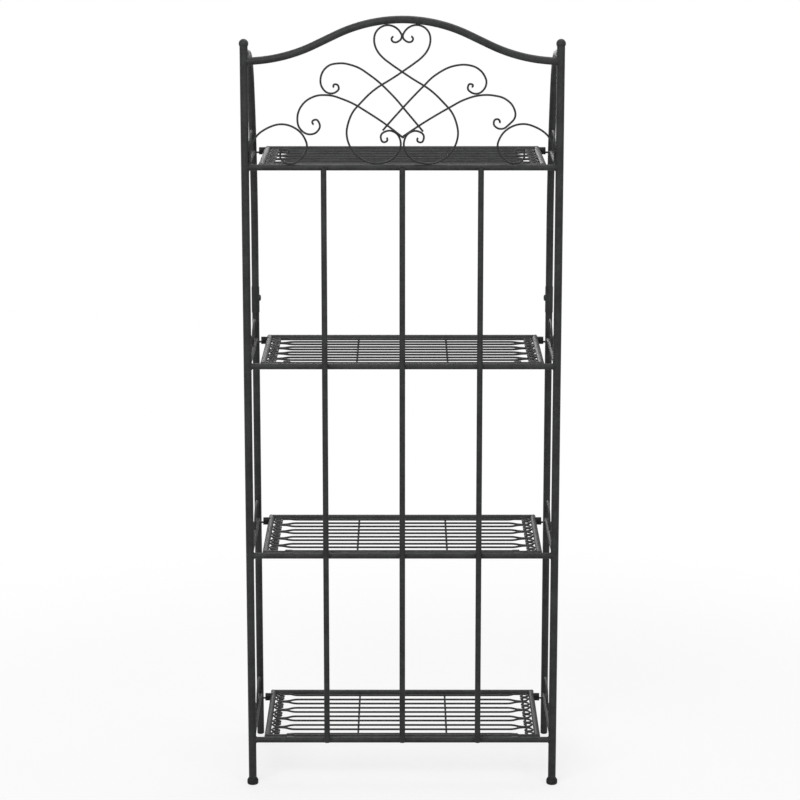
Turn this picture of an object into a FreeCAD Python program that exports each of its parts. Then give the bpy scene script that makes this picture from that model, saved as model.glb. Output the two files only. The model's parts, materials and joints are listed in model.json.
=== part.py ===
import FreeCAD, Part
import cmath
import math
import os

# A folding four-tier bakers rack of bent steel tube and wire. Millimetres, +Z up, floor at Z = 0.
# The arched back frame faces -Y, the shelves hinge up against it, and the two side panels turn on
# vertical pins behind the back posts.

doc = FreeCAD.newDocument("bakers_rack")

# ---------------------------------------------------------------------------- driving dimensions

SIZES = [
    ("post_spacing", 620, "back posts, centre to centre"),
    ("leg_offset", 300, "from the plane of the posts to the front legs"),
    ("post_diameter", 16, "back post tube"),
    ("post_wall", 1.2, "back post wall"),
    ("post_rise", 238, "from the top shelf up to the top of a post tube"),
    ("finial_diameter", 19, "ball on top of a post"),
    ("finial_plug", 12, "length of the finial inside its post"),
    ("foot_diameter", 23, "rubber foot under a post"),
    ("foot_height", 13, "height of that foot"),
    ("foot_floor", 3, "rubber under the post's end"),
    ("foot_round", 3, "rounding of the foot's lower edge"),
    ("foot_lip", 1.2, "rubber around the post at the foot's top"),
    ("foot_taper", 4, "height of the foot's tapered top"),
    ("rail_diameter", 12, "back rails and shelf rails"),
    ("rail_wall", 1, "wall of those rails"),
    ("top_shelf", 1286, "height of the top shelf and its back rail"),
    ("upper_shelf", 885, "height of the upper middle shelf"),
    ("lower_shelf", 491, "height of the lower middle shelf"),
    ("bottom_shelf", 96, "height of the bottom shelf"),
    ("bar_diameter", 11.5, "vertical back bars"),
    ("bar_wall", 1, "wall of those bars"),
    ("bar_spacing", 155, "back bars, centre to centre"),
    ("arch_diameter", 15, "arch tube"),
    ("arch_wall", 1.2, "arch wall"),
    ("arch_drop", 29, "from the top of a post tube down to the arch's foot"),
    ("arch_rise", 81, "from the arch's foot up to its crown"),
    ("arch_straight", 47.1, "straight piece of the arch between its middle bend and an end bend"),
    ("crown_radius", 300, "bend over the middle of the arch"),
    ("scroll_wire", 4, "diameter of the ornament wires"),
    ("touch_gap", 0.1, "between wires that touch"),
    ("shelf_offset", 16, "from the plane of the posts to a shelf's rear rail"),
    ("shelf_setback", 7, "from the front legs back to a shelf's front rail"),
    ("shelf_margin", 30, "from a side panel's middle plane to the side rail of a shelf"),
    ("shelf_wire", 4.2, "long wires of a shelf"),
    ("pair_spacing", 27, "the two wires of a pair, along their straight run"),
    ("tulip_length", 30, "length of the bend that spreads a pair"),
    ("tulip_flat", 3, "straight piece at a pair's widest place"),
    ("tip_radius", 8, "tight bend at the tip of a pair"),
    ("stem_length", 2, "double stem inside the tip"),
    ("anchor_radius", 5, "bend from the stem to an anchor's arm"),
    ("fluke_radius", 9.5, "bend at the end of an anchor on the right"),
    ("fluke_turn", 55, "turn of that bend in degrees"),
    ("curl_radius", 5, "bend at the end of an anchor on the left, which is curled in"),
    ("curl_turn", 140, "turn of that bend in degrees"),
    ("cross_wire", 4, "wires under the long wires"),
    ("cross_spacing", 184, "cross wires, centre to centre"),
    ("clip_spacing", 464, "hinge clips of one shelf, centre to centre"),
    ("clip_width", 14, "length of a clip along its rail"),
    ("clip_wall", 2, "thickness of a clip's ring"),
    ("clip_web", 10, "height of a clip's web"),
    ("clip_clearance", 0.08, "between a clip's ring and the rail in it"),
    ("panel_tube", 12.7, "rear tube of a side panel"),
    ("panel_wall", 1.2, "wall of that tube"),
    ("panel_gap", 2.2, "between a post and the rear tube behind it"),
    ("panel_bottom", 85, "lower end of the rear tube"),
    ("panel_drop", 7, "from the top of a post tube down to the rear tube's upper end"),
    ("lug_thickness", 3, "plate that holds a hinge pin"),
    ("lug_gap", 0.3, "between that plate and the end of the rear tube"),
    ("pin_length", 20, "hinge pin inside the rear tube"),
    ("pin_clearance", 0.07, "between the hinge pin and the rear tube"),
    ("leg_diameter", 15, "front leg tube"),
    ("leg_wall", 1.2, "front leg wall"),
    ("leg_end", 5, "height of the leg tube's lower end"),
    ("glide_plug", 12, "length of the glide inside the leg"),
    ("glide_round", 2, "rounding of the glide's lower edge"),
    ("brow_drop", 8, "from the rear tube's upper end down to the leg that leaves it"),
    ("brow_run", 100, "straight piece from the rear tube to the leg's bend"),
    ("brow_slope", 5, "fall of that piece in degrees"),
    ("brow_radius", 130, "bend at the leg's shoulder"),
    ("knee_slope", 62, "fall of the leg below that bend in degrees"),
    ("side_rail", 10, "side rails of a panel"),
    ("side_wall", 1, "wall of the side rails"),
    ("side_drop", 4, "side rail and shelf pin below the shelf's middle"),
    ("band_height", 50, "height of the ornament above a side rail"),
    ("pin_diameter", 4, "pin that carries a shelf's latch"),
    ("latch_setback", 24, "from the front rail back to the latch"),
    ("latch_reach", 11, "latch beyond the side of the shelf"),
    ("latch_width", 14, "latch, front to back"),
    ("latch_foot", 3.5, "latch below the middle of its pin"),
    ("latch_crown", 4, "middle of the latch's round top above the middle of its pin"),
    ("latch_play", 1, "between the pin and the sides of the latch's slot"),
    ("latch_lift", 0.3, "between the pin and the top of that slot"),
    ("tip_gap", 4, "between the pin's end and the side of the shelf"),
    ("bolt_drop", 140, "from the end of the leg's bends down to the bolt on its inside"),
    ("bolt_diameter", 12, "dome head of that bolt"),
    ("bolt_rise", 1.7, "height of that dome"),
    ("sleeve_wall", 0.8, "sleeve around the leg, under the bolt's head"),
    ("sleeve_above", 24, "from the bolt up to the sleeve's upper end"),
    ("sleeve_below", 31, "from the bolt down to the sleeve's lower end"),
]

sheet = doc.addObject("Spreadsheet::Sheet", "sizes")
for row, (alias, value, note) in enumerate(SIZES, 1):
    sheet.set(f"A{row}", note)
    sheet.set(f"B{row}", str(value))
    sheet.setAlias(f"B{row}", alias)
doc.recompute()


def number(expression):
    """The value, in millimetres or degrees, of an expression on the sheet."""
    return float(sheet.evalExpression(expression))


# Expressions for the places that several pieces share.
HALF = "sizes.post_spacing / 2"
BACK_REACH = "(sizes.rail_diameter / 2 + sizes.bar_diameter)"
SLEEVE = "(sizes.leg_diameter + 2 * sizes.sleeve_wall)"
POST_Y = f"(({BACK_REACH} - sizes.leg_offset - {SLEEVE} / 2) / 2)"
LEG_Y = f"({POST_Y} + sizes.leg_offset)"
HINGE_Y = f"({POST_Y} + sizes.post_diameter / 2 + sizes.panel_gap + sizes.panel_tube / 2)"
SHELF_Y = f"({POST_Y} + sizes.shelf_offset)"
FRONT_Y = f"({LEG_Y} - sizes.shelf_setback)"
SHELF_DEPTH = f"({FRONT_Y} - {SHELF_Y})"
LATCH_Y = f"({FRONT_Y} - sizes.latch_setback)"
SHELF_HALF = f"({HALF} - sizes.shelf_margin)"
POST_TOP = "(sizes.top_shelf + sizes.post_rise)"
PANEL_TOP = f"({POST_TOP} - sizes.panel_drop)"
ARCH_FOOT = f"({POST_TOP} - sizes.arch_drop)"
SIDES = {"left": -1, "right": 1}
LEVELS = {name: f"sizes.{name}_shelf" for name in ("top", "upper", "lower", "bottom")}

# ---------------------------------------------------------------------------- ways of making pieces

UPWARD = FreeCAD.Rotation()
ALONG = {
    "z": UPWARD,
    "x": FreeCAD.Rotation(FreeCAD.Vector(0, 1, 0), 90),
    "-x": FreeCAD.Rotation(FreeCAD.Vector(0, 1, 0), -90),
    "y": FreeCAD.Rotation(FreeCAD.Vector(1, 0, 0), -90),
}
nodes = []


def keep(item, name):
    """Marks an object as one of the rack's sub-parts."""
    item.Label = name
    nodes.append(item)
    return item


def place(item, spot, turn=UPWARD):
    """Puts an object at three expressions, turned as given."""
    item.Placement = FreeCAD.Placement(FreeCAD.Vector(), turn)
    for axis, expression in zip("xyz", spot):
        item.setExpression(f"Placement.Base.{axis}", expression)


def rod(name, diameter, length, spot, along="z"):
    """A solid round rod that starts at the spot."""
    item = doc.addObject("Part::Cylinder", name)
    item.setExpression("Radius", f"({diameter}) / 2")
    item.setExpression("Height", length)
    place(item, spot, ALONG[along])
    return item


def block(name, sides, spot, turn=UPWARD):
    """A box with one corner at the spot."""
    item = doc.addObject("Part::Box", name)
    for edge, expression in zip(("Length", "Width", "Height"), sides):
        item.setExpression(edge, expression)
    place(item, spot, turn)
    return item


def group(name, items):
    item = doc.addObject("Part::Compound", name)
    item.Links = items
    return item


def fuse(name, items):
    item = doc.addObject("Part::MultiFuse", name)
    item.Shapes = items
    return item


def cut(name, base, tools):
    """The base with every tool taken away."""
    item = doc.addObject("Part::Cut", name)
    item.Base = base
    item.Tool = tools[0] if len(tools) == 1 else group(f"{name}_tools", tools)
    return item


def tube(name, diameter, wall, length, spot, along="z", tools=()):
    """A round tube, trimmed by the tools where it meets its neighbours."""
    outer = rod(f"{name}_outer", diameter, length, spot, along)
    bore = rod(f"{name}_bore", f"{diameter} - 2 * {wall}", length, spot, along)
    return cut(name, outer, [bore, *tools])


def turned(name, outline, spot, turn=UPWARD):
    """A solid of revolution about Z from an outline of (radius, height) lines and arcs."""
    edges = []
    for points in outline:
        corners = [FreeCAD.Vector(radius, 0, height) for radius, height in points]
        curve = Part.LineSegment(*corners) if len(corners) == 2 else Part.Arc(*corners)
        edges.append(curve.toShape())
    profile = doc.addObject("Part::Feature", f"{name}_profile")
    profile.Shape = Part.Face(Part.Wire(edges))
    item = doc.addObject("Part::Revolution", name)
    item.Source = profile
    item.Axis = FreeCAD.Vector(0, 0, 1)
    item.Angle = 360
    place(item, spot, turn)
    return item


# Routes of bent wires are worked out flat, as complex numbers: across + up * 1j. A route is a list
# of pieces, each (start, middle, end); a straight piece has no middle.

STRAIGHT = 1e-4


def unit(step):
    return step / abs(step)


def bow(start, heading, end):
    """The arc that leaves the start along the heading and runs to the end, and its last heading."""
    chord = end - start
    lean = cmath.phase(heading / chord)
    leaving = unit(chord) ** 2 * heading.conjugate()
    if abs(lean) < STRAIGHT:
        return (start, None, end), leaving
    middle = (start + end) / 2 + chord / 2 * 1j * math.tan(lean / 2)
    return (start, middle, end), leaving


def along_bends(start, heading, bends):
    """A route from bends: a length is a straight run, and (radius, degrees) turns left if positive."""
    route = []
    for bend in bends:
        if isinstance(bend, tuple):
            radius, degrees = bend
            side = 1j if degrees > 0 else -1j
            centre = start + heading * side * radius
            spin = cmath.exp(1j * math.radians(degrees))
            end = centre + (start - centre) * spin
            piece, heading = bow(start, heading, end)
        else:
            end = start + heading * bend
            piece = (start, None, end)
        route.append(piece)
        start = end
    return route


def through_points(points, first=None):
    """A smooth route through the points, two tangent arcs from each point to the next."""
    headings = [None] * len(points)
    for i in range(1, len(points) - 1):
        before = points[i] - points[i - 1]
        after = points[i + 1] - points[i]
        headings[i] = unit(before / abs(before) ** 2 + after / abs(after) ** 2)
    headings[0] = first or unit(points[1] - points[0]) ** 2 * headings[1].conjugate()
    headings[-1] = unit(points[-1] - points[-2]) ** 2 * headings[-2].conjugate()
    route = []
    for i, (start, end) in enumerate(zip(points, points[1:])):
        leave, arrive = headings[i], headings[i + 1]
        chord = end - start
        spread = 1 - (leave * arrive.conjugate()).real
        forward = (chord * (leave + arrive).conjugate()).real
        if spread < STRAIGHT:
            reach = abs(chord) ** 2 / (2 * forward)
        else:
            root = math.sqrt(forward ** 2 + 2 * spread * abs(chord) ** 2)
            reach = (root - forward) / (2 * spread)
        joint = (start + end + reach * (leave - arrive)) / 2
        piece, heading = bow(start, leave, joint)
        route.append(piece)
        piece, heading = bow(joint, heading, end)
        route.append(piece)
    return route


def mirrored(route):
    """The route reversed and flipped across the centre line."""
    flip = [[None if point is None else -point.conjugate() for point in piece] for piece in route]
    return [tuple(reversed(piece)) for piece in reversed(flip)]


def sweep(name, route, lift, diameter):
    """A round wire along the route; lift turns a flat point into a place in the rack."""
    edges = []
    for piece in route:
        corners = [lift(point) for point in piece if point is not None]
        curve = Part.LineSegment(*corners) if len(corners) == 2 else Part.Arc(*corners)
        edges.append(curve.toShape())
    spine = doc.addObject("Part::Feature", f"{name}_route")
    spine.Shape = Part.Wire(edges)
    first = spine.Shape.OrderedEdges[0]
    heading = first.tangentAt(first.FirstParameter)
    section = doc.addObject("Part::Circle", f"{name}_section")
    section.setExpression("Radius", f"({diameter}) / 2")
    section.Placement = FreeCAD.Placement(
        first.valueAt(first.FirstParameter), FreeCAD.Rotation(FreeCAD.Vector(0, 0, 1), heading)
    )
    item = doc.addObject("Part::Sweep", name)
    item.Sections = [section]
    item.Spine = (spine, [f"Edge{i + 1}" for i in range(len(edges))])
    item.Solid = True
    return item


def bent_tube(name, route, lift, diameter, wall, tools):
    outer = sweep(f"{name}_outer", route, lift, diameter)
    bore = sweep(f"{name}_bore", route, lift, f"{diameter} - 2 * {wall}")
    return cut(name, outer, [bore, *tools]), outer


def touching(first, second, offset=0):
    """How far apart two rods' middles lie when they touch, measured square to the offset."""
    return math.sqrt(((first + second) / 2 + number("touch_gap")) ** 2 - offset ** 2)


# ---------------------------------------------------------------------------- back frame

def side_x(side):
    return f"{SIDES[side]} * {HALF}"


def make_post(side):
    """The back post, its ball finial and its rubber foot."""
    base = (side_x(side), POST_Y, "0")
    length = f"{POST_TOP} - sizes.foot_floor"
    spot = (side_x(side), POST_Y, "sizes.foot_floor")
    post = tube(f"{side}_back_post", "sizes.post_diameter", "sizes.post_wall", length, spot)
    keep(post, f"{side}_back_post")

    post_r = number("post_diameter / 2")
    bore_r = post_r - number("post_wall")
    top = number(POST_TOP)
    plug = top - number("finial_plug")
    ball_r = number("finial_diameter / 2")
    ball = top + math.sqrt(ball_r ** 2 - post_r ** 2)
    outline = [
        [(0, plug), (bore_r, plug)],
        [(bore_r, plug), (bore_r, top)],
        [(bore_r, top), (post_r, top)],
        [(post_r, top), (ball_r, ball), (0, ball + ball_r)],
        [(0, ball + ball_r), (0, plug)],
    ]
    keep(turned(f"{side}_finial", outline, base), f"{side}_finial")

    foot_r = number("foot_diameter / 2")
    floor = number("foot_floor")
    edge = number("foot_round")
    rim = post_r + number("foot_lip")
    top = number("foot_height")
    taper = top - number("foot_taper")
    slant = edge * (1 - math.sqrt(0.5))
    outline = [
        [(0, 0), (foot_r - edge, 0)],
        [(foot_r - edge, 0), (foot_r - slant, slant), (foot_r, edge)],
        [(foot_r, edge), (foot_r, taper)],
        [(foot_r, taper), (rim, top)],
        [(rim, top), (post_r, top)],
        [(post_r, top), (post_r, floor)],
        [(post_r, floor), (0, floor)],
        [(0, floor), (0, 0)],
    ]
    keep(turned(f"{side}_back_foot", outline, base), f"{side}_back_foot")


def make_back_rails():
    """One rail at each shelf, coped to the posts, and three bars lapped on the rails."""
    posts = [doc.getObject(f"{side}_back_post_outer") for side in SIDES]
    for level, height in LEVELS.items():
        name = f"{level}_back_rail"
        spot = (f"-{HALF}", POST_Y, height)
        keep(tube(name, "sizes.rail_diameter", "sizes.rail_wall", "sizes.post_spacing", spot,
                  "x", posts), name)
    reach = "sizes.rail_diameter / 12"
    length = f"sizes.top_shelf - sizes.bottom_shelf + 2 * {reach}"
    bar_y = f"{POST_Y} - (sizes.rail_diameter + sizes.bar_diameter) / 2"
    for place_name, step in (("left", -1), ("center", 0), ("right", 1)):
        name = f"{place_name}_back_bar"
        spot = (f"{step} * sizes.bar_spacing", bar_y, f"sizes.bottom_shelf - {reach}")
        keep(tube(name, "sizes.bar_diameter", "sizes.bar_wall", length, spot), name)


def make_arch():
    """One tube: a bend at each post, the opposite bend over the middle and straight runs between."""
    half = number(HALF)
    rise = number("arch_rise")
    run = number("arch_straight")
    crown_r = number("crown_radius")
    # An end bend and half the middle bend together climb the rise over half the width.
    radii = (half ** 2 + rise ** 2 - run ** 2) / (2 * rise)
    haunch_r = radii - crown_r
    degrees = math.degrees(math.atan2(half, radii - rise) - math.atan2(run, radii))
    start = complex(-half, number(ARCH_FOOT))
    bends = [(haunch_r, degrees), run, (crown_r, -2 * degrees), run, (haunch_r, degrees)]
    back = number(POST_Y)
    posts = [doc.getObject(f"{side}_back_post_outer") for side in SIDES]
    arch, _ = bent_tube("arch_tube", along_bends(start, 1, bends),
                        lambda flat: FreeCAD.Vector(flat.real, back, flat.imag),
                        "sizes.arch_diameter", "sizes.arch_wall", posts)
    keep(arch, "arch_tube")


# The ornament is drawn on a panel that reaches from the middle to the wires that stand against a
# post, and from the wires that rest on the top rail to the ones that touch the arch.
DRAWN_REACH = 300.4
DRAWN_LOW = 7.8
DRAWN_HIGH = 280.3
DRAWN_TOUCH = 30

HEART = [
    (-17.1, 258.2), (-21, 253.8), (-19, 248.8), (-13.3, 246.9), (-6.4, 249.6), (-1.9, 254.5),
    (-1, 259.5), (-3.6, 266), (-12, 275.2), (-28, 280.3), (-43.5, 275.4), (-52.5, 264.7),
    (-55, 252), (-53.2, 240), (-47.5, 228), (-37.5, 216.5), (-23, 205.1), (0, 189),
    (72, 138), (103, 98), (109, 60), (91, 25), (50, 7.8), (12, 24), (3, 48), (14, 69),
    (29, 72.5), (42.5, 60), (36, 50), (29.5, 54), (31, 59),
]
LEFT_UPPER = [
    (-134, 158.5), (-134.5, 163.5), (-129, 164.5), (-124.5, 157), (-131, 149), (-144, 147.3),
    (-158, 160), (-160, 177), (-146, 200), (-122, 206), (-95, 201), (-57, 178), (-22, 146),
    (14, 104), (40.8, 71.6),
]
RIGHT_UPPER = [
    (136, 159), (138.5, 161.5), (134, 165), (128.5, 157), (136, 148), (148, 146), (160, 154),
    (165, 168), (160, 183), (147, 196), (126, 202.5), (104, 201), (63, 181), (39, 158),
    (1, 118), (-38.6, 73.2),
]
LEFT_LOWER = [
    (-174, 85.5), (-177, 90.5), (-171.5, 95), (-162.5, 86), (-168.5, 70.5), (-182, 66),
    (-201, 77), (-206, 101), (-195, 126), (-172, 141), (-143, 143), (-113, 134), (-57, 102.5),
    (1.5, 59.2),
]
RIGHT_LOWER = [
    (191.5, 88), (190.5, 94), (184.5, 95.5), (180, 86), (186, 78.5), (197.5, 76.6), (210, 85),
    (222, 101), (218, 120), (203, 135), (178, 142.5), (146, 141.5), (122, 134), (90, 117),
    (-1.5, 59.2),
]
END = [
    (-300.3, 7.8), (-299, 36), (-288, 61), (-264, 79), (-238, 86), (-214, 80), (-195, 63),
    (-188, 39), (-197, 21), (-219, 7.8), (-236, 13), (-241, 24), (-232, 36), (-224, 33),
    (-225, 28),
]
SCROLLS = {
    "left_heart_scroll": (-1, HEART, False, None),
    "right_heart_scroll": (1, HEART, True, None),
    "left_upper_scroll": (-1, LEFT_UPPER, False, None),
    "right_upper_scroll": (1, RIGHT_UPPER, False, None),
    "left_lower_scroll": (-1, LEFT_LOWER, False, None),
    "right_lower_scroll": (1, RIGHT_LOWER, False, None),
    "left_end_scroll": (-1, END, False, 1j),
    "right_end_scroll": (1, END, True, 1j),
}


def make_scrolls():
    """The ornament: the wires of the left half lie behind those of the right half and touch them."""
    wire = number("scroll_wire")
    offset = (wire + number("touch_gap")) / 2
    crown = number(f"{ARCH_FOOT} + sizes.arch_rise")
    crown_r = number("crown_radius")
    reach = number(HALF) - touching(number("post_diameter"), wire, offset)
    widen = reach / DRAWN_REACH
    low = number("top_shelf") + touching(number("rail_diameter"), wire, offset)
    sag = crown_r - math.sqrt(crown_r ** 2 - (DRAWN_TOUCH * widen) ** 2)
    high = crown - sag - touching(number("arch_diameter"), wire, offset)
    raise_by = (high - low) / (DRAWN_HIGH - DRAWN_LOW)
    for name, (side, drawing, flip, first) in SCROLLS.items():
        points = [complex(x * widen, low + (z - DRAWN_LOW) * raise_by) for x, z in drawing]
        route = through_points(points, first)
        if flip:
            route = mirrored(route)
        depth = number(POST_Y) + side * offset
        scroll = sweep(name, route, lambda flat: FreeCAD.Vector(flat.real, depth, flat.imag),
                       "sizes.scroll_wire")
        keep(scroll, name)


def make_clips():
    """Rings around the shelves' rear rails, each with a web to the back rail behind it."""
    clips = []
    for level, height in LEVELS.items():
        for side, sign in SIDES.items():
            name = f"{level}_{side}_clip"
            x = f"{sign} * sizes.clip_spacing / 2 - sizes.clip_width / 2"
            bore = "sizes.rail_diameter + 2 * sizes.clip_clearance"
            width = "sizes.clip_width"
            spot = (x, SHELF_Y, height)
            ring = rod(f"{name}_ring", f"{bore} + 2 * sizes.clip_wall", width, spot, "x")
            web = block(f"{name}_web", (width, "sizes.shelf_offset", "sizes.clip_web"),
                        (x, POST_Y, f"{height} - sizes.clip_web / 2"))
            hole = rod(f"{name}_hole", bore, width, spot, "x")
            rail = doc.getObject(f"{level}_back_rail_outer")
            clips.append(cut(name, fuse(f"{name}_body", [ring, web]), [hole, rail]))
    keep(group("shelf_hinge_clips", clips), "shelf_hinge_clips")


def make_lugs(side):
    """A plate and pin below and above the rear tube of a side panel, welded to the post."""
    lugs = []
    x = side_x(side)
    pin_size = "sizes.panel_tube - 2 * sizes.panel_wall - 2 * sizes.pin_clearance"
    below = "sizes.panel_bottom - sizes.lug_gap - sizes.lug_thickness"
    above = f"{PANEL_TOP} + sizes.lug_gap"
    pins = {"lower": (below, below), "upper": (above, f"{PANEL_TOP} - sizes.pin_length")}
    for end, (plate_z, pin_z) in pins.items():
        name = f"{side}_{end}_lug"
        plate = block(f"{name}_plate",
                      ("sizes.panel_tube", f"{HINGE_Y} - {POST_Y}", "sizes.lug_thickness"),
                      (f"{x} - sizes.panel_tube / 2", POST_Y, plate_z))
        eye = rod(f"{name}_eye", "sizes.panel_tube", "sizes.lug_thickness", (x, HINGE_Y, plate_z))
        pin = rod(f"{name}_pin", pin_size,
                  "sizes.pin_length + sizes.lug_gap + sizes.lug_thickness", (x, HINGE_Y, pin_z))
        body = fuse(f"{name}_body", [plate, eye, pin])
        lugs.append(cut(name, body, [doc.getObject(f"{side}_back_post_outer")]))
    keep(group(f"{side}_hinge_lugs", lugs), f"{side}_hinge_lugs")


# ---------------------------------------------------------------------------- side panels

def leg_bends():
    """The leg's bends from the rear tube down to the floor; the last bend ends plumb."""
    slope = number("brow_slope")
    knee = number("knee_slope")
    run = number("brow_run")
    brow_r = number("brow_radius")
    lean = [math.radians(slope), math.radians(knee)]
    forward = run * math.cos(lean[0]) + brow_r * (math.sin(lean[1]) - math.sin(lean[0]))
    fall = run * math.sin(lean[0]) + brow_r * (math.cos(lean[0]) - math.cos(lean[1]))
    knee_r = (number(f"{LEG_Y} - {HINGE_Y}") - forward) / (1 - math.sin(lean[1]))
    plumb = number(f"{PANEL_TOP} - sizes.brow_drop") - fall - knee_r * math.cos(lean[1])
    bends = [run, (brow_r, slope - knee), (knee_r, knee - 90), plumb - number("leg_end")]
    return bends, knee_r, plumb


def leg_y(height):
    """Where the middle of the leg is at a height on its lower bend or below it."""
    _, knee_r, plumb = leg_bends()
    climb = max(0, height - plumb)
    return number(LEG_Y) - knee_r + math.sqrt(knee_r ** 2 - climb ** 2)


def make_leg(side):
    """The front leg with its curved shoulder, its glide, and the sleeve and bolt half way up."""
    x = number(side_x(side))
    slope = math.radians(number("brow_slope"))
    start = complex(number(HINGE_Y), number(f"{PANEL_TOP} - sizes.brow_drop"))
    bends, _, plumb = leg_bends()
    route = along_bends(start, cmath.exp(-1j * slope), bends)
    leg, _ = bent_tube(f"{side}_leg", route,
                       lambda flat: FreeCAD.Vector(x, flat.real, flat.imag),
                       "sizes.leg_diameter", "sizes.leg_wall",
                       [doc.getObject(f"{side}_rear_tube_outer")])
    keep(leg, f"{side}_leg")

    leg_r = number("leg_diameter / 2")
    bore_r = leg_r - number("leg_wall")
    top = number("leg_end")
    plug = top + number("glide_plug")
    edge = number("glide_round")
    slant = edge * (1 - math.sqrt(0.5))
    outline = [
        [(0, 0), (leg_r - edge, 0)],
        [(leg_r - edge, 0), (leg_r - slant, slant), (leg_r, edge)],
        [(leg_r, edge), (leg_r, top)],
        [(leg_r, top), (bore_r, top)],
        [(bore_r, top), (bore_r, plug)],
        [(bore_r, plug), (0, plug)],
        [(0, plug), (0, 0)],
    ]
    keep(turned(f"{side}_leg_glide", outline, (side_x(side), LEG_Y, "0")), f"{side}_leg_glide")

    bolt_z = f"{plumb} - sizes.bolt_drop"
    keep(tube(f"{side}_leg_sleeve", SLEEVE, "sizes.sleeve_wall",
              "sizes.sleeve_below + sizes.sleeve_above",
              (side_x(side), LEG_Y, f"{bolt_z} - sizes.sleeve_below")), f"{side}_leg_sleeve")

    bolt_r = number("bolt_diameter / 2")
    rise = number("bolt_rise")
    seat = number(f"{SLEEVE} / 2")
    dome_r = (bolt_r ** 2 + rise ** 2) / (2 * rise)
    middle = seat + rise - dome_r
    half = math.asin(bolt_r / dome_r) / 2
    outline = [
        [(0, 0), (bolt_r, 0)],
        [(bolt_r, 0), (bolt_r, seat)],
        [(bolt_r, seat), (dome_r * math.sin(half), middle + dome_r * math.cos(half)),
         (0, seat + rise)],
        [(0, seat + rise), (0, 0)],
    ]
    inward = ALONG["x" if SIDES[side] < 0 else "-x"]
    head = turned(f"{side}_bolt_head", outline, (side_x(side), LEG_Y, bolt_z), inward)
    sleeve = doc.getObject(f"{side}_leg_sleeve_outer")
    keep(cut(f"{side}_leg_bolt", head, [sleeve]), f"{side}_leg_bolt")


# One scroll of a side panel, drawn from the tube it stands against: across and above the side rail.
# It stands against the leg at three quarters of its height.
SIDE_DRAWN_REACH = 140
SIDE_DRAWN_HEIGHT = 50
SIDE_DRAWN_STAND = 0.75
SIDE_SCROLL = [
    (2, 7), (3.5, 24), (12, 39), (34, 49), (62, 50), (88, 46), (108, 35), (116, 21), (107, 9),
    (92, 9), (86, 18), (93, 25), (100, 20),
]


def make_side_rails(side):
    """The rails between the rear tube and the leg, the scrolls on them and the shelf pins."""
    rails = []
    scrolls = []
    pins = []
    x = side_x(side)
    tube_face = number(f"{HINGE_Y} + sizes.panel_tube / 2")
    leg_r = number("leg_diameter / 2")
    wire = number("scroll_wire")
    rest = touching(number("side_rail"), wire)
    stand = touching(0, wire)
    for level, shelf in LEVELS.items():
        height = f"{shelf} - sizes.side_drop"
        z = number(height)
        name = f"{side}_{level}_side_rail"
        length = str(leg_y(z) - number(HINGE_Y))
        rail = tube(name, "sizes.side_rail", "sizes.side_wall", length, (x, HINGE_Y, height), "y",
                    [doc.getObject(f"{side}_rear_tube_outer"), doc.getObject(f"{side}_leg_outer")])
        rails.append(rail)
        rail_outer = doc.getObject(f"{name}_outer")
        reach = "sizes.shelf_margin - sizes.rail_diameter / 2 - sizes.tip_gap"
        pin = rod(f"{side}_{level}_shelf_pin_rod", "sizes.pin_diameter", reach,
                  (x, LATCH_Y, height), "x" if SIDES[side] < 0 else "-x")
        pins.append(cut(f"{side}_{level}_shelf_pin", pin, [rail_outer]))

        band = number("band_height")
        leg_face = leg_y(z + band * SIDE_DRAWN_STAND) - leg_r
        half = (leg_face - tube_face) / 2
        widen = (half - stand) / SIDE_DRAWN_REACH
        raise_by = (band - rest) / (SIDE_DRAWN_HEIGHT - SIDE_SCROLL[0][1])
        for end, (face, sign) in {"rear": (tube_face, 1), "front": (leg_face, -1)}.items():
            points = []
            for across, up in SIDE_SCROLL:
                y = face + sign * (stand + (across - SIDE_SCROLL[0][0]) * widen)
                points.append(complex(y, z + rest + (up - SIDE_SCROLL[0][1]) * raise_by))
            scrolls.append(sweep(
                f"{side}_{level}_{end}_scroll", through_points(points, 1j),
                lambda flat: FreeCAD.Vector(number(x), flat.real, flat.imag), "sizes.scroll_wire"))
    keep(group(f"{side}_side_rails", rails), f"{side}_side_rails")
    keep(group(f"{side}_side_scrolls", scrolls), f"{side}_side_scrolls")
    keep(group(f"{side}_shelf_pins", pins), f"{side}_shelf_pins")


def make_panel(side):
    spot = (side_x(side), HINGE_Y, "sizes.panel_bottom")
    rear = tube(f"{side}_rear_tube", "sizes.panel_tube", "sizes.panel_wall",
                f"{PANEL_TOP} - sizes.panel_bottom", spot)
    keep(rear, f"{side}_rear_tube")
    make_leg(side)
    make_side_rails(side)


# ---------------------------------------------------------------------------- shelves

MITRE_SIZE = "3 * sizes.rail_diameter"


def mitre(name, x, y, height, degrees):
    """A block whose face is a mitre plane through the corner; it lies on the side turned to."""
    turn = FreeCAD.Rotation(FreeCAD.Vector(0, 0, 1), degrees)
    item = block(name, (MITRE_SIZE, MITRE_SIZE, MITRE_SIZE), ("0", "0", "0"), turn)
    shift = turn.multVec(FreeCAD.Vector(0, -0.5, 0))
    for axis, spot, step in zip("xyz", (x, y, height), (shift.x, shift.y, -0.5)):
        item.setExpression(f"Placement.Base.{axis}", f"{spot} + {step} * {MITRE_SIZE}")
    return item


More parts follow.
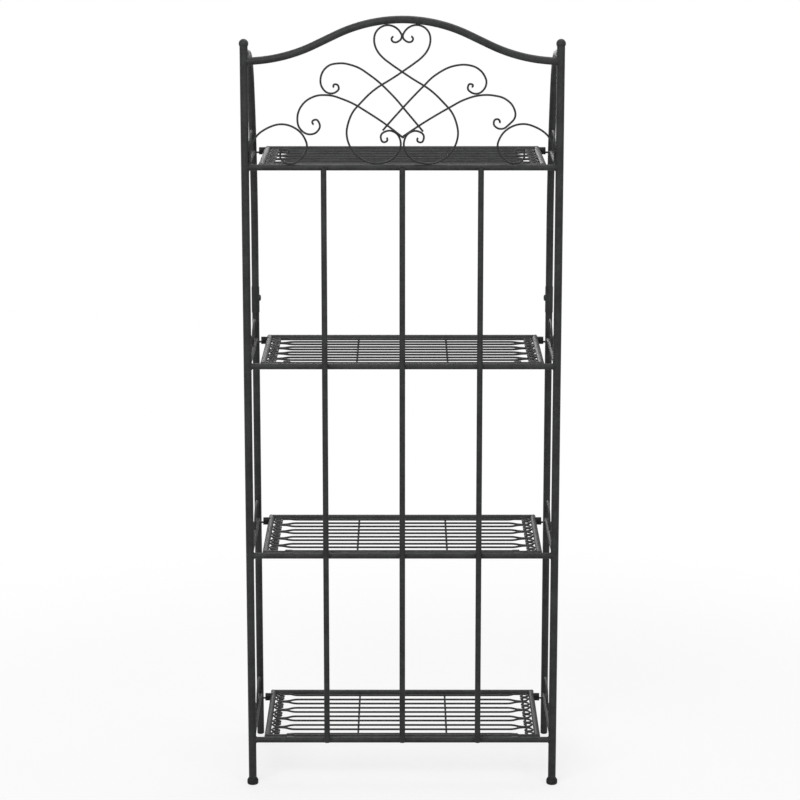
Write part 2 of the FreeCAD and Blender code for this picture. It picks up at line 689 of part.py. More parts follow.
def make_rim(level):
    """Rear rail, front rail and two side rails, mitred at the four corners."""
    height = LEVELS[level]
    radius = "sizes.rail_diameter / 2"
    size = ("sizes.rail_diameter", "sizes.rail_wall")
    long = f"2 * ({SHELF_HALF} + {radius})"
    deep = f"{SHELF_DEPTH} + 2 * {radius}"
    corners = {
        "rear_left": (f"-{SHELF_HALF}", SHELF_Y), "rear_right": (SHELF_HALF, SHELF_Y),
        "front_left": (f"-{SHELF_HALF}", FRONT_Y), "front_right": (SHELF_HALF, FRONT_Y),
    }
    away_from_long = {"rear_left": 135, "rear_right": 45, "front_left": -135, "front_right": -45}

    def mitres(rail, names, turn_by):
        return [mitre(f"{level}_{rail}_{name}_mitre", *corners[name], height,
                      away_from_long[name] + turn_by) for name in names]

    rails = {}
    for rail, y in (("rear", SHELF_Y), ("front", FRONT_Y)):
        # The long rails lose what lies beyond the mitre, towards the sides.
        tools = mitres(rail, [f"{rail}_left", f"{rail}_right"], 0)
        spot = (f"-{SHELF_HALF} - {radius}", y, height)
        rails[rail] = tube(f"{level}_shelf_{rail}_rail", *size, long, spot, "x", tools)
    for side, sign in SIDES.items():
        # The side rails lose the other half of the same corners.
        tools = mitres(side, [f"rear_{side}", f"front_{side}"], 180)
        spot = (f"{sign} * {SHELF_HALF}", f"{SHELF_Y} - {radius}", height)
        rails[side] = tube(f"{level}_shelf_{side}_rail", *size, deep, spot, "y", tools)
    keep(rails["rear"], f"{level}_shelf_rear_rail")
    rim = group(f"{level}_shelf_rim", [rails[name] for name in ("front", "left", "right")])
    keep(rim, f"{level}_shelf_rim")


PAIRS = 5


def wire_route():
    """One long wire, on the upper side of its pair: tulip bends, tips and anchor arms at both ends."""
    ends = {"left": ("curl_radius", "curl_turn"), "right": ("fluke_radius", "fluke_turn")}
    wire_r = number("shelf_wire / 2")
    gap = number("touch_gap")
    pitch = number(f"{SHELF_DEPTH} - sizes.rail_diameter") / PAIRS
    widest = pitch / 2 - wire_r - gap / 2
    stem = wire_r + gap / 2
    straight = number("pair_spacing / 2")
    tip_r = number("tip_radius")
    round_r = widest - stem - tip_r
    tip = number(f"{SHELF_HALF} - sizes.rail_diameter / 2") - wire_r - gap
    length = number("tulip_length")
    spread = widest - straight
    bend_r = (length ** 2 + spread ** 2) / (4 * spread)
    bend = math.degrees(2 * math.atan2(spread, length))
    flat = number("tulip_flat")
    middle = tip - round_r - flat - length
    halves = {}
    for side, (radius, turn) in ends.items():
        bends = [
            (bend_r, bend),
            (bend_r, -bend),
            flat,
            (round_r, -90),
            (tip_r, -90),
            number("stem_length"),
            (number("anchor_radius"), -90),
            (number(radius), -number(turn)),
        ]
        halves[side] = along_bends(complex(middle, straight), 1, bends)
    run = (complex(-middle, straight), None, complex(middle, straight))
    return mirrored(halves["left"]) + [run] + halves["right"], pitch


def make_wires(level):
    """Ten long wires in pairs that share a centre line, and the cross wires under them."""
    height = LEVELS[level]
    z = number(height)
    route, pitch = wire_route()
    first = number(f"{SHELF_Y} + sizes.rail_diameter / 2") + pitch / 2
    wires = []
    for pair in range(PAIRS):
        for side in (1, -1):
            centre = first + pair * pitch

            def lift(flat):
                return FreeCAD.Vector(flat.real, centre + side * flat.imag, z)

            wires.append(sweep(f"{level}_wire_{len(wires) + 1}", route, lift, "sizes.shelf_wire"))
    keep(group(f"{level}_shelf_wires", wires), f"{level}_shelf_wires")

    crossings = []
    rails = [doc.getObject(f"{level}_shelf_{rail}_rail_outer") for rail in ("rear", "front")]
    below = f"{height} - (sizes.shelf_wire + sizes.cross_wire) / 2 - sizes.touch_gap"
    for side, sign in SIDES.items():
        spot = (f"{sign} * sizes.cross_spacing / 2", SHELF_Y, below)
        name = f"{level}_{side}_cross"
        crossing = rod(f"{name}_rod", "sizes.cross_wire", SHELF_DEPTH, spot, "y")
        crossings.append(cut(name, crossing, rails))
    keep(group(f"{level}_shelf_cross_wires", crossings), f"{level}_shelf_cross_wires")


def make_latches(level):
    """Black plastic hooks on the side rails; the slot of each drops over a shelf pin."""
    height = LEVELS[level]
    latches = []
    pin_z = f"{height} - sizes.side_drop"
    width = "sizes.latch_width"
    crown = f"{pin_z} + sizes.latch_crown"
    length = "sizes.rail_diameter / 2 + sizes.latch_reach"
    slot = "sizes.pin_diameter + 2 * sizes.latch_play"
    slot_top = "sizes.pin_diameter / 2 + sizes.latch_lift"
    for side, sign in SIDES.items():
        name = f"{level}_{side}_latch"
        left = SHELF_HALF if sign > 0 else f"-{SHELF_HALF} - ({length})"
        cap = rod(f"{name}_cap", width, length, (left, LATCH_Y, crown), "x")
        cheek = block(f"{name}_cheek", (length, width, "sizes.latch_foot + sizes.latch_crown"),
                      (left, f"{LATCH_Y} - {width} / 2", f"{pin_z} - sizes.latch_foot"))
        opening = block(f"{name}_slot", (length, slot, f"2 * sizes.latch_foot + {slot_top}"),
                        (left, f"{LATCH_Y} - ({slot}) / 2", f"{pin_z} - 2 * sizes.latch_foot"))
        rail = doc.getObject(f"{level}_shelf_{side}_rail_outer")
        latches.append(cut(name, fuse(f"{name}_body", [cap, cheek]), [opening, rail]))
    keep(group(f"{level}_shelf_latches", latches), f"{level}_shelf_latches")


# ---------------------------------------------------------------------------- the rack

for side in SIDES:
    make_post(side)
make_back_rails()
make_arch()
make_scrolls()
make_clips()
for side in SIDES:
    make_lugs(side)
    make_panel(side)
for level in LEVELS:
    make_rim(level)
    make_wires(level)
    make_latches(level)
doc.recompute()

for item in doc.Objects:
    if {"Invalid", "Error"} & set(item.State):
        raise RuntimeError(f"{item.Label} did not build: {item.State}")
os.makedirs("parts", exist_ok=True)
for item in nodes:
    if item.Shape.isNull() or not item.Shape.isValid() or not item.Shape.Solids:
        raise RuntimeError(f"{item.Label} has no valid solid")
for item in nodes:
    item.Shape.exportStep(f"parts/{item.Label}.step")
print(f"{len(nodes)} sub-parts, {sum(len(item.Shape.Solids) for item in nodes)} solids")
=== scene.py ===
import json
import math
import random

import bpy
from mathutils import Matrix, Vector
from mathutils.bvhtree import BVHTree


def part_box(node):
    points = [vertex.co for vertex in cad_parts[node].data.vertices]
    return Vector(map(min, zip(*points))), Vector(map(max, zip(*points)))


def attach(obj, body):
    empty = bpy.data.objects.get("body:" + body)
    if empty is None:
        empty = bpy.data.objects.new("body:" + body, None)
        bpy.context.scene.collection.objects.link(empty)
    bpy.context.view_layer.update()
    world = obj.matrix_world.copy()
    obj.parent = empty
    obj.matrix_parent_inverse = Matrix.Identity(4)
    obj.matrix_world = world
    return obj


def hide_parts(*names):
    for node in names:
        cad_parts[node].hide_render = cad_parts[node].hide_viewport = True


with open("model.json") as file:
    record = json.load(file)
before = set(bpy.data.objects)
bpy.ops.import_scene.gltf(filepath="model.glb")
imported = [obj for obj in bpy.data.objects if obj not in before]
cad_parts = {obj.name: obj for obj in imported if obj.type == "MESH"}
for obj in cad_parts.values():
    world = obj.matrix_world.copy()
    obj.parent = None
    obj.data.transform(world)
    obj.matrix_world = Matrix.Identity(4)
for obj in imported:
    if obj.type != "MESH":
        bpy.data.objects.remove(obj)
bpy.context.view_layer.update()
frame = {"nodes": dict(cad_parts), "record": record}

# A folding four-tier bakers rack of powder-coated steel tube and wire. Metres; the barred back frame
# faces -Y and the floor is Z = 0. The solids come from the frame; this script gives them their
# finishes and adds the weld metal, the moulded latches and the domed heads of the leg bolts.

MM = 0.001
SIDES = ("left", "right")
LEVELS = ("top", "upper", "lower", "bottom")
X, Y, Z = range(3)
ACROSS = Vector((1, 0, 0))
DEEP = Vector((0, 1, 0))
UP = Vector((0, 0, 1))
scene = bpy.context.scene
nodes = frame["nodes"]


# ---------------------------------------------------------------------------- pieces

def pick(*pieces):
    """Selects these pieces and nothing else; the first becomes the active one."""
    bpy.ops.object.select_all(action="DESELECT")
    for piece in pieces:
        piece.select_set(True)
    bpy.context.view_layer.objects.active = pieces[0]


def dress(piece, material):
    """Gives a piece one finish all over."""
    piece.data.materials.clear()
    piece.data.materials.append(material)


def settle(piece, body, material):
    """Finish, body and slot of a new piece."""
    dress(piece, material)
    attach(piece, body)


# ---------------------------------------------------------------------------- shader sheets

# Sockets of a Mix node that blends colours.
MIX_SHARE, MIX_FIRST, MIX_SECOND, MIX_RESULT = 0, 6, 7, 2


class Signal:
    """A value in a sheet; arithmetic on it adds Math nodes."""

    def __init__(self, sheet, socket):
        self.sheet = sheet
        self.socket = socket

    def combined(self, operation, *values):
        return self.sheet.node("ShaderNodeMath", {"operation": operation}, dict(enumerate(values)))

    def __add__(self, other):
        return self.combined("ADD", self, other)

    def __rsub__(self, other):
        return self.combined("SUBTRACT", other, self)

    def __mul__(self, other):
        return self.combined("MULTIPLY", self, other)

    def between(self, low, high):
        """0 at low, 1 at high, with a smooth rise between them."""
        return self.sheet.node(
            "ShaderNodeMapRange", {"interpolation_type": "SMOOTHSTEP"},
            {"Value": self, "From Min": low, "From Max": high})


class Sheet:
    """The nodes of one material, or of the world."""

    def __init__(self, owner, shader="Principled BSDF", output="Material Output"):
        owner.use_nodes = True
        self.owner = owner
        self.tree = owner.node_tree
        self.shader = self.tree.nodes[shader]
        self.output = self.tree.nodes[output]

    def node(self, kind, settings=None, values=None, output=0):
        """Adds a node; its settings are set first, then the values or links of its sockets."""
        made = self.tree.nodes.new(kind)
        for name, value in (settings or {}).items():
            setattr(made, name, value)
        for name, value in (values or {}).items():
            self.feed(made.inputs[name], value)
        return Signal(self, made.outputs[output])

    def feed(self, socket, value):
        """Links a signal to a socket, or sets the socket to a plain value."""
        if isinstance(value, Signal):
            self.tree.links.new(value.socket, socket)
        else:
            socket.default_value = value

    def place(self):
        """The place on the piece, which moves with it."""
        return self.node("ShaderNodeTexCoord", output="Object")

    def facing_up(self):
        """1 on faces that look up when the rack stands open, 0 on upright ones."""
        normal = self.node("ShaderNodeTexCoord", output="Normal")
        return self.node("ShaderNodeSeparateXYZ", values={"Vector": normal}, output="Z")

    def noise(self, place, size, detail, roughness):
        """Cloudy noise whose spots are about this size, in metres."""
        return self.node("ShaderNodeTexNoise", None, {
            "Vector": place, "Scale": 1 / size, "Detail": detail, "Roughness": roughness}, "Fac")

    def blend(self, share, first, second):
        """A colour between two."""
        colours = {MIX_SHARE: share, MIX_FIRST: first, MIX_SECOND: second}
        return self.node("ShaderNodeMix", {"data_type": "RGBA"}, colours, MIX_RESULT)

    def bump(self, height, depth, strength):
        """A normal for a surface this uneven, in metres."""
        return self.node("ShaderNodeBump", None, {
            "Height": height, "Distance": depth, "Strength": strength}, "Normal")

    def finish(self, **values):
        """Feeds the shader's sockets and gives the material, or the world, that holds it."""
        for name, value in values.items():
            self.feed(self.shader.inputs[name.replace("_", " ")], value)
        return self.owner

    def looked_at(self):
        """1 on what is looked at, straight, in a mirror or through glass; 0 for bounced light."""
        rays = self.tree.nodes.new("ShaderNodeLightPath")
        seen = Signal(self, rays.outputs["Is Camera Ray"])
        for kind in ("Is Glossy Ray", "Is Transmission Ray"):
            seen = seen + Signal(self, rays.outputs[kind])
        return seen

    def whiten(self, white, share):
        """Shows this share of a white shader instead of the sheet's own."""
        own = Signal(self, self.shader.outputs[0])
        mixed = self.node("ShaderNodeMixShader", None, {0: share, 1: own, 2: white})
        self.feed(self.output.inputs["Surface"], mixed)


def material_sheet(name):
    """The sheet of a new material."""
    return Sheet(bpy.data.materials.new(name))


def grey(level, warmth=0):
    """A near-neutral colour at a linear level."""
    return (level * (1 + warmth), level, level * (1 - warmth), 1)


# Sockets of a shader that shows pure white.
WHITE = {"Color": grey(1), "Strength": 1}


# ---------------------------------------------------------------------------- finishes

DARK_COAT = grey(0.015, -0.01)
PALE_COAT = grey(0.033, -0.03)
# The pale grey that up-facing faces are blended towards, and its share: partly dust, partly painted
# light from above.
DUST_AND_TOP_LIGHT = grey(0.17, 0.02)
DUST_AND_TOP_LIGHT_SHARE = 0.16
RUBBER_BLACK = grey(0.009)
RUBBER_BLOOM = grey(0.024, 0.02)
LATCH_BLACK = 0.0035
GLIDE_BLACK = 0.008


def powder_coat(name, grain):
    """Charcoal powder coat: cloudy film, fine orange peel, pin-head speckle, and up-facing faces
    painted paler, partly as dust and partly as painted light from above.
    """
    sheet = material_sheet(name)
    place = sheet.place()
    clouds = sheet.noise(place, 40 * MM, detail=4, roughness=0.6)
    film = sheet.noise(place, 9 * MM, detail=3, roughness=0.55)
    speckle = sheet.noise(place, grain / 2, detail=2, roughness=0.7)
    peel = sheet.noise(place, grain, detail=2, roughness=0.5)
    tone = clouds * 0.5 + film * 0.3 + speckle * 0.2
    coat = sheet.blend(tone.between(0.34, 0.66), DARK_COAT, PALE_COAT)
    # Painted light: faces that look up are made paler, as if lit from above, with some dust in the
    # same blend.
    dust_and_top_light = sheet.facing_up().between(0.55, 0.95) * film.between(0.35, 0.75) * DUST_AND_TOP_LIGHT_SHARE
    return sheet.finish(
        Base_Color=sheet.blend(dust_and_top_light, coat, DUST_AND_TOP_LIGHT),
        Roughness=tone * 0.22 + 0.40 + dust_and_top_light * 0.5,
        Specular_IOR_Level=0.16,
        Normal=sheet.bump(peel * 0.7 + speckle * 0.3, depth=0.25 * grain, strength=0.35),
    )


def rubber():
    """Matt black rubber, bloomed grey in places, with a fine mould grain."""
    sheet = material_sheet("foot_rubber")
    place = sheet.place()
    bloom = sheet.noise(place, 7 * MM, detail=4, roughness=0.6)
    grain = sheet.noise(place, 0.6 * MM, detail=2, roughness=0.6)
    return sheet.finish(
        Base_Color=sheet.blend(bloom.between(0.4, 0.75), RUBBER_BLACK, RUBBER_BLOOM),
        Roughness=bloom * 0.2 + 0.62,
        Specular_IOR_Level=0.2,
        Normal=sheet.bump(grain, depth=0.08 * MM, strength=0.4),
    )


def moulded_plastic(name, level):
    """Black moulded plastic with a leathery spark-eroded grain and rubbed high spots."""
    sheet = material_sheet(name)
    place = sheet.place()
    rub = sheet.noise(place, 4 * MM, detail=3, roughness=0.5)
    grain = sheet.noise(place, 0.35 * MM, detail=3, roughness=0.6)
    return sheet.finish(
        Base_Color=sheet.blend(rub.between(0.35, 0.7), grey(level), grey(2 * level)),
        Roughness=rub * 0.18 + 0.30,
        Specular_IOR_Level=0.14,
        Normal=sheet.bump(grain, depth=0.05 * MM, strength=0.5),
    )


TUBE_COAT = powder_coat("tube_powder_coat", grain=0.9 * MM)
WIRE_COAT = powder_coat("wire_powder_coat", grain=0.6 * MM)
WELD_COAT = powder_coat("weld_powder_coat", grain=1.2 * MM)
RUBBER = rubber()
LATCH_PLASTIC = moulded_plastic("latch_plastic", LATCH_BLACK)
GLIDE_PLASTIC = moulded_plastic("glide_plastic", GLIDE_BLACK)


def finish_for(name):
    """The finish of a solid, by its name."""
    if name.endswith("back_foot"):
        return RUBBER
    if name.endswith("glide"):
        return GLIDE_PLASTIC
    if "wires" in name or "scroll" in name or name.endswith("pins"):
        return WIRE_COAT
    return TUBE_COAT


for name, node in nodes.items():
    dress(node, finish_for(name))


# ---------------------------------------------------------------------------- places on the rack

def middle(node):
    """The middle of a node's box."""
    low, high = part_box(node)
    return (low + high) / 2


def radius_of(node, axis):
    """Half a node's size along an axis, which is a straight tube's radius across it."""
    low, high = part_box(node)
    return (high[axis] - low[axis]) / 2


POST_R = radius_of("left_back_post", X)
RAIL_R = radius_of("top_back_rail", Z)
BAR_R = radius_of("left_back_bar", X)
ARCH_R = radius_of("arch_tube", Y)
LEG_R = radius_of("left_leg", X)
REAR_R = radius_of("left_rear_tube", X)
BACK = middle("left_back_post").y


def inward(spot):
    """The way along X from a spot to the rack's middle: 1 or -1."""
    return 1 if spot.x < 0 else -1


def pin_height(side, level):
    """Height of a shelf pin, which is its side rail's too."""
    pins = f"{side}_shelf_pins"
    lowest_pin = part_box(pins)[0].z + radius_of(pins, Y)
    drop = middle("bottom_shelf_rim").z - lowest_pin
    return middle(f"{level}_shelf_rim").z - drop


LEG_BAND = 30 * MM


def leg_place(side, height):
    """How deep in the rack the middle of a front leg is at a height."""
    leg = f"{side}_leg"
    band = [v.co.y for v in nodes[leg].data.vertices if abs(v.co.z - height) < LEG_BAND]
    if not band:  # the leg's straight stretch, which has no corners on its way
        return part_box(leg)[1].y - LEG_R
    return (min(band) + max(band)) / 2


def surface(node):
    """A node's surface, for measuring to."""
    mesh = nodes[node].data
    mesh.calc_loop_triangles()
    corners = [v.co for v in mesh.vertices]
    return BVHTree.FromPolygons(corners, [t.vertices for t in mesh.loop_triangles])


def touches(node, other, reach, apart):
    """Where one node lies against another: the middle of each stretch that is within reach.

    A spot nearer than apart to a stretch's first spot belongs to that stretch.
    """
    skin = surface(other)
    found = []
    for vertex in nodes[node].data.vertices:
        near = skin.find_nearest(vertex.co, reach)[0]
        if near is None:
            continue
        spot = (vertex.co + near) / 2
        for group in found:
            if (group[0] - spot).length < apart:
                group.append(spot)
                break
        else:
            found.append([spot])
    return [sum(group, Vector()) / len(group) for group in found]


# ---------------------------------------------------------------------------- weld metal

# What counts as a touch: how near two pieces come, and how far apart two touches are.
BAR_ON_RAIL = (0.8 * MM, 12 * MM)
SCROLL_ON_SCROLL = (0.7 * MM, 6 * MM)
SCROLL_ON_TUBE = (0.4 * MM, 10 * MM)
SIDE_SCROLL_ON_TUBE = (0.35 * MM, 10 * MM)
PIN_ON_RAIL = (0.3 * MM, 8 * MM)
TIP_ON_RIM = (0.3 * MM, 5 * MM)
CROSS_WIRE_ON_WIRE = (0.5 * MM, 5 * MM)
CROSS_WIRE_ON_RAIL = (0.3 * MM, 8 * MM)

# Radii of the beads and the tacks.
POST_BEAD = 1.5 * MM
PANEL_BEAD = 1.2 * MM
CORNER_BEAD = 0.45 * MM
BAR_TACK = 2.2 * MM
SCROLL_TACK = 2.1 * MM
PANEL_TACK = 2.0 * MM
TIP_TACK = 1.9 * MM
CROSS_TACK = 1.7 * MM

BAR_TACK_ASIDE = 0.45  # how far a bar's two tacks are from its middle, in its radii
BROW_DROP = 8 * MM  # from the top of a rear tube to the middle of the leg that meets it

# Each bead swells and shrinks a little, and every second step of it dips, as in a laid weld.
BEAD_STEPS = 44
TURNS = [2 * math.pi * step / BEAD_STEPS for step in range(BEAD_STEPS)]
BEAD_SPREAD = (0.9, 1.1)
RIPPLE = 0.82

LUMP_R = 1 * MM
LUMP_CLOUDS = 1.1 * MM
LUMP_SWELL = 0.5 * MM
LUMP_SPREAD = (0.85, 1.15)

LAID = random.Random(5)


def saddle(centre, along, across, radius, other):
    """The joint line of a tube that meets another square on; centre is on the other one's axis."""
    up = along.cross(across)
    line = []
    for turn in TURNS:
        a, b = radius * math.cos(turn), radius * math.sin(turn)
        out = math.sqrt(max(other ** 2 - a ** 2, 0))
        line.append(centre + across * a + up * b + along * out)
    return line


def mitre(centre, corner, radius):
    """The joint line of two tubes that meet in a square corner, which points along X and Y."""
    line = []
    for turn in TURNS:
        a, b = radius * math.cos(turn), radius * math.sin(turn)
        line.append(centre + corner * a + UP * b)
    return line


def lay_beads(name, lines, radius, body):
    """Rippled beads of weld metal along closed lines, as one piece."""
    curve = bpy.data.curves.new(name, "CURVE")
    curve.dimensions = "3D"
    curve.bevel_depth = radius
    curve.bevel_resolution = 2
    for line in lines:
        spline = curve.splines.new("POLY")
        spline.points.add(len(line) - 1)
        spline.use_cyclic_u = True
        for step, (point, spot) in enumerate(zip(spline.points, line)):
            point.co = (*spot, 1)
            point.radius = LAID.uniform(*BEAD_SPREAD) * (RIPPLE if step % 2 else 1)
    beads = bpy.data.objects.new(name, curve)
    scene.collection.objects.link(beads)
    pick(beads)
    bpy.ops.object.convert(target="MESH")
    bpy.ops.object.shade_smooth()
    settle(beads, body, WELD_COAT)


def make_lump():
    """One blob of weld metal that the tacks are copied from."""
    bpy.ops.mesh.primitive_ico_sphere_add(subdivisions=3, radius=LUMP_R)
    lump = bpy.context.object
    pick(lump)
    uneven = bpy.data.textures.new("tack_unevenness", "CLOUDS")
    uneven.noise_scale = LUMP_CLOUDS
    swell = lump.modifiers.new("swell", "DISPLACE")
    swell.texture = uneven
    swell.strength = LUMP_SWELL
    bpy.ops.object.modifier_apply(modifier=swell.name)
    bpy.ops.object.shade_smooth()
    return lump


LUMP = make_lump()


def lay_tacks(name, spots, radius, body):
    """A lump of weld metal at each spot, each turned its own way, as one piece."""
    lumps = []
    for spot in spots:
        lump = LUMP.copy()
        lump.data = LUMP.data.copy()
        turn = Matrix.Rotation(LAID.uniform(0, 2 * math.pi), 4, "Z")
        tip = Matrix.Rotation(LAID.uniform(0, math.pi), 4, "X")
        grow = Matrix.Scale(LAID.uniform(*LUMP_SPREAD) * radius / LUMP_R, 4)
        lump.data.transform(Matrix.Translation(spot) @ turn @ tip @ grow)
        scene.collection.objects.link(lump)
        lumps.append(lump)
    pick(*lumps)
    bpy.ops.object.join()
    lumps[0].name = name
    settle(lumps[0], body, WELD_COAT)


def weld_back_frame():
    """Rails and arch to the posts, bars to the rails."""
    lines = []
    for side in SIDES:
        post = middle(f"{side}_back_post")
        along = ACROSS * inward(post)
        for level in LEVELS:
            rail_end = Vector((post.x, BACK, middle(f"{level}_back_rail").z))
            lines.append(saddle(rail_end, along, DEEP, RAIL_R, POST_R))
        arch_end = Vector((post.x, BACK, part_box("arch_tube")[0].z + ARCH_R))
        lines.append(saddle(arch_end, along, DEEP, ARCH_R, POST_R))
    lay_beads("post_weld_beads", lines, POST_BEAD, "back_frame")

    aside = ACROSS * BAR_TACK_ASIDE * BAR_R
    tacks = []
    for bar in ("left", "center", "right"):
        for level in LEVELS:
            for spot in touches(f"{bar}_back_bar", f"{level}_back_rail", *BAR_ON_RAIL):
                tacks += [spot - aside, spot + aside]
    lay_tacks("bar_weld_tacks", tacks, BAR_TACK, "back_frame")


def weld_scrolls():
    """Ornament wires to each other and to the tubes round them."""
    scrolls = [n for n in frame["record"]["behaviour"]["bodies"]["back_frame"] if "scroll" in n]
    left = [n for n in scrolls if n.startswith("left")]
    right = [n for n in scrolls if n.startswith("right")]
    spots = []
    for name in left:
        for other in right:
            spots += touches(name, other, *SCROLL_ON_SCROLL)
    for name in scrolls:
        for tube in ("top_back_rail", "arch_tube", "left_back_post", "right_back_post"):
            spots += touches(name, tube, *SCROLL_ON_TUBE)
    lay_tacks("scroll_weld_tacks", spots, SCROLL_TACK, "back_frame")


def weld_panel(side):
    """Side rails to the rear tube and the leg, the leg to the rear tube, scrolls and shelf pins."""
    body = f"{side}_panel"
    rear = middle(f"{side}_rear_tube")
    rail_r = radius_of(f"{side}_side_rails", X)
    lines = []
    for level in LEVELS:
        height = pin_height(side, level)
        rear_end = Vector((rear.x, rear.y, height))
        lines.append(saddle(rear_end, DEEP, ACROSS, rail_r, REAR_R))
        leg_end = Vector((rear.x, leg_place(side, height), height))
        lines.append(saddle(leg_end, -DEEP, ACROSS, rail_r, LEG_R))
    brow = Vector((rear.x, rear.y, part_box(f"{side}_rear_tube")[1].z - BROW_DROP))
    lines.append(saddle(brow, DEEP, ACROSS, LEG_R, REAR_R))
    lay_beads(f"{side}_panel_weld_beads", lines, PANEL_BEAD, body)

    spots = []
    for tube in ("side_rails", "leg", "rear_tube"):
        spots += touches(f"{side}_side_scrolls", f"{side}_{tube}", *SIDE_SCROLL_ON_TUBE)
    spots += touches(f"{side}_shelf_pins", f"{side}_side_rails", *PIN_ON_RAIL)
    lay_tacks(f"{side}_panel_weld_tacks", spots, PANEL_TACK, body)


def weld_shelf(level):
    """Mitred corners, wire tips to the side rails, cross wires to the long wires and the rails."""
    body = f"{level}_shelf"
    rim = f"{level}_shelf_rim"
    rear_rail = f"{level}_shelf_rear_rail"
    wires = f"{level}_shelf_wires"
    cross_wires = f"{level}_shelf_cross_wires"

    rear = middle(rear_rail)
    low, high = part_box(rim)
    lines = []
    for out_y, y in ((-1, rear.y), (1, high.y - RAIL_R)):
        for out_x, x in ((-1, low.x), (1, high.x)):
            centre = Vector((x - out_x * RAIL_R, y, rear.z))
            lines.append(mitre(centre, Vector((out_x, out_y, 0)), RAIL_R))
    lay_beads(f"{level}_shelf_corner_beads", lines, CORNER_BEAD, body)

    lay_tacks(f"{level}_shelf_tip_tacks", touches(wires, rim, *TIP_ON_RIM), TIP_TACK, body)

    crossings = touches(cross_wires, wires, *CROSS_WIRE_ON_WIRE)
    for rail in (rim, rear_rail):
        crossings += touches(cross_wires, rail, *CROSS_WIRE_ON_RAIL)
    lay_tacks(f"{level}_shelf_cross_tacks", crossings, CROSS_TACK, body)


weld_back_frame()
weld_scrolls()
for side in SIDES:
    weld_panel(side)
for level in LEVELS:
    weld_shelf(level)
bpy.data.objects.remove(LUMP)


# ---------------------------------------------------------------------------- latches

LATCH_ROUND = 1.8 * MM
LATCH_ROUND_STEPS = 4
LATCH_SHARP = math.radians(35)  # edges sharper than this are rounded
LATCH_SMOOTH = math.radians(40)  # edges flatter than this look smooth
SAME_CORNER = 0.01 * MM
SAME_FACE = math.radians(1)


def mould_latches(level):
    """The two plastic latches of a shelf, with the rounded edges of a moulding."""
    solids = f"{level}_shelf_latches"
    latches = nodes[solids].copy()
    latches.data = nodes[solids].data.copy()
    latches.parent = None
    for note in list(latches.keys()):  # what the frame noted on the solid isn't true of a copy
        del latches[note]
    latches.name = f"{level}_shelf_latch_mouldings"
    scene.collection.objects.link(latches)
    pick(latches)
    bpy.ops.object.mode_set(mode="EDIT")
    bpy.ops.mesh.select_all(action="SELECT")
    bpy.ops.mesh.remove_doubles(threshold=SAME_CORNER)
    bpy.ops.mesh.dissolve_limited(angle_limit=SAME_FACE)
    bpy.ops.object.mode_set(mode="OBJECT")
    edge = latches.modifiers.new("mould_edge", "BEVEL")
    edge.width = LATCH_ROUND
    edge.segments = LATCH_ROUND_STEPS
    edge.limit_method = "ANGLE"
    edge.angle_limit = LATCH_SHARP
    bpy.ops.object.modifier_apply(modifier=edge.name)
    bpy.ops.object.shade_smooth_by_angle(angle=LATCH_SMOOTH)
    settle(latches, f"{level}_shelf", LATCH_PLASTIC)
    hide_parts(solids)


for level in LEVELS:
    mould_latches(level)


# ---------------------------------------------------------------------------- leg bolts

BOLT_R = 6.5 * MM
BOLT_RISE = 3.4 * MM
BOLT_SIDES = 40
BOLT_SINK = 0.4  # how deep the head is sunk in its sleeve, in the sleeve's radii
BOLT_SMOOTH = math.radians(50)

# Steps of the dome: each one's share of the rise, and how much its ring shrinks.
DOME_STEPS = ((0.30, 0.99), (0.28, 0.95), (0.20, 0.86), (0.12, 0.75), (0.07, 0.55), (0.03, 0.4))


def make_leg_bolt(side):
    """A dome-headed bolt on the inside of a leg's sleeve."""
    sleeve = middle(f"{side}_leg_sleeve")
    sleeve_r = radius_of(f"{side}_leg_sleeve", X)
    spot = middle(f"{side}_leg_bolt")
    way = inward(sleeve)
    sunk = BOLT_SINK * sleeve_r
    start = Vector((sleeve.x + way * (sleeve_r - sunk / 2), spot.y, spot.z))
    bpy.ops.mesh.primitive_cylinder_add(
        vertices=BOLT_SIDES, radius=BOLT_R, depth=sunk, location=start,
        rotation=(0, way * math.pi / 2, 0))
    bolt = bpy.context.object
    bolt.name = f"{side}_leg_bolt_head"
    pick(bolt)
    bpy.ops.object.transform_apply(location=True, rotation=True, scale=True)
    bpy.ops.object.mode_set(mode="EDIT")
    bpy.ops.mesh.select_mode(type="FACE")
    bpy.ops.mesh.select_all(action="DESELECT")
    bpy.ops.object.mode_set(mode="OBJECT")
    for face in bolt.data.polygons:
        face.select = face.normal.x * way > 0.9  # the end that looks inwards
    bpy.ops.object.mode_set(mode="EDIT")
    for rise, shrink in DOME_STEPS:
        step = (way * rise * BOLT_RISE, 0, 0)
        bpy.ops.mesh.extrude_region_move(TRANSFORM_OT_translate={"value": step})
        bpy.ops.transform.resize(value=(1, shrink, shrink), center_override=spot)
    bpy.ops.mesh.select_all(action="SELECT")
    bpy.ops.mesh.normals_make_consistent(inside=False)
    bpy.ops.object.mode_set(mode="OBJECT")
    bpy.ops.object.shade_smooth_by_angle(angle=BOLT_SMOOTH)
    settle(bolt, f"{side}_panel", TUBE_COAT)
    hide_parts(f"{side}_leg_bolt")


for side in SIDES:
    make_leg_bolt(side)


# ---------------------------------------------------------------------------- floor and world

FLOOR_SIZE = 30
FLOOR_TONE = grey(0.86)
SHADOW_SHARE = 0.25  # how much of the floor's own shading shows round the rack's middle
SHADOW_NEAR = 0.7  # it begins to fade this far from the middle
SHADOW_FAR = 1.8  # and is gone this far out
AMBIENT = 0.21  # the world's light on surfaces


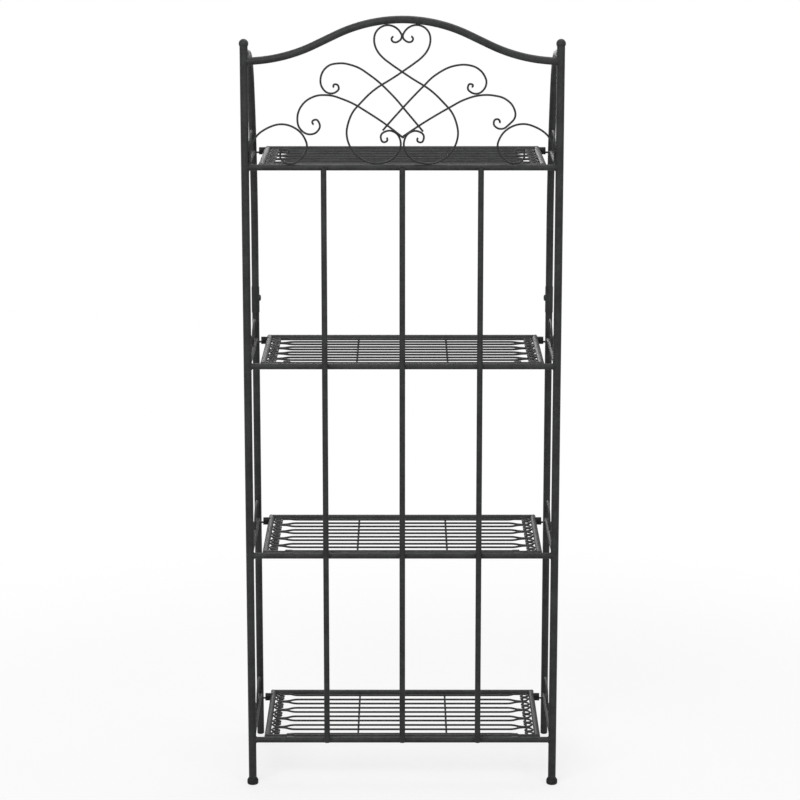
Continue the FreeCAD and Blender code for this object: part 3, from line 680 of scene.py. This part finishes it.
def make_floor():
    """A pale floor that looks white and keeps a soft shadow."""
    bpy.ops.mesh.primitive_plane_add(size=FLOOR_SIZE)
    floor = bpy.context.object
    floor.name = "studio_floor"
    sheet = material_sheet("pale_floor")
    dress(floor, sheet.finish(Base_Color=FLOOR_TONE, Roughness=0.9, Specular_IOR_Level=0.1))
    away = sheet.node("ShaderNodeVectorMath", {"operation": "LENGTH"}, {0: sheet.place()}, "Value")
    shadow = (1 - away.between(SHADOW_NEAR, SHADOW_FAR)) * SHADOW_SHARE
    white = sheet.node("ShaderNodeEmission", None, WHITE)
    sheet.whiten(white, sheet.looked_at() * (1 - shadow))


def make_world():
    """Even grey light for the surfaces, white where it is looked at."""
    scene.world = bpy.data.worlds.new("studio")
    sheet = Sheet(scene.world, "Background", "World Output")
    sheet.finish(Color=grey(1), Strength=AMBIENT)
    white = sheet.node("ShaderNodeBackground", None, WHITE)
    sheet.whiten(white, sheet.looked_at())


# ---------------------------------------------------------------------------- lamps

RACK_MIDDLE = Vector((0, 0, 0.8))

# Each lamp's name, and its place, width, height and watts.
SOFT_BOXES = {
    "front_box": ((-1.3, -3.0, 3.0), 2.2, 1.6, 92),
    "front_fill": ((2.0, -3.0, 2.2), 1.6, 1.6, 34),
    "top_box": ((0.3, 0.6, 3.4), 2.0, 1.4, 42),
    "far_fill": ((-0.8, 3.4, 1.8), 1.8, 1.8, 40),
}


def make_lamps():
    """Soft boxes that look at the middle of the rack."""
    for name, (spot, width, height, watts) in SOFT_BOXES.items():
        lamp = bpy.data.lights.new(name, "AREA")
        lamp.shape = "RECTANGLE"
        lamp.size = width
        lamp.size_y = height
        lamp.energy = watts
        box = bpy.data.objects.new(name, lamp)
        box.location = spot
        box.rotation_euler = (RACK_MIDDLE - Vector(spot)).to_track_quat("-Z", "Y").to_euler()
        scene.collection.objects.link(box)


# ---------------------------------------------------------------------------- camera

CAMERA_BACK = 5.0  # metres behind the back frame
CAMERA_HEIGHT = 1.95
CAMERA_PITCH = 11.88  # degrees down
LENS = 114.8  # millimetres
FRAME_SHIFT = -0.05  # how far the view is shifted up, in frame widths
FRAME_WIDTH_PX = 800
RACK_MIDDLE_PX = 402.3  # where the rack's middle is across the frame


def make_camera():
    """Square-on from behind the rack, from above its top, looking a little down."""
    lens = bpy.data.cameras.new("camera")
    lens.lens = LENS
    lens.shift_x = (FRAME_WIDTH_PX / 2 - RACK_MIDDLE_PX) / FRAME_WIDTH_PX
    lens.shift_y = FRAME_SHIFT
    camera = bpy.data.objects.new("camera", lens)
    camera.location = (0, BACK - CAMERA_BACK, CAMERA_HEIGHT)
    camera.rotation_euler = (math.radians(90 - CAMERA_PITCH), 0, 0)
    scene.collection.objects.link(camera)
    scene.camera = camera


make_floor()
make_world()
make_lamps()
make_camera()
scene.view_settings.view_transform = "Standard"
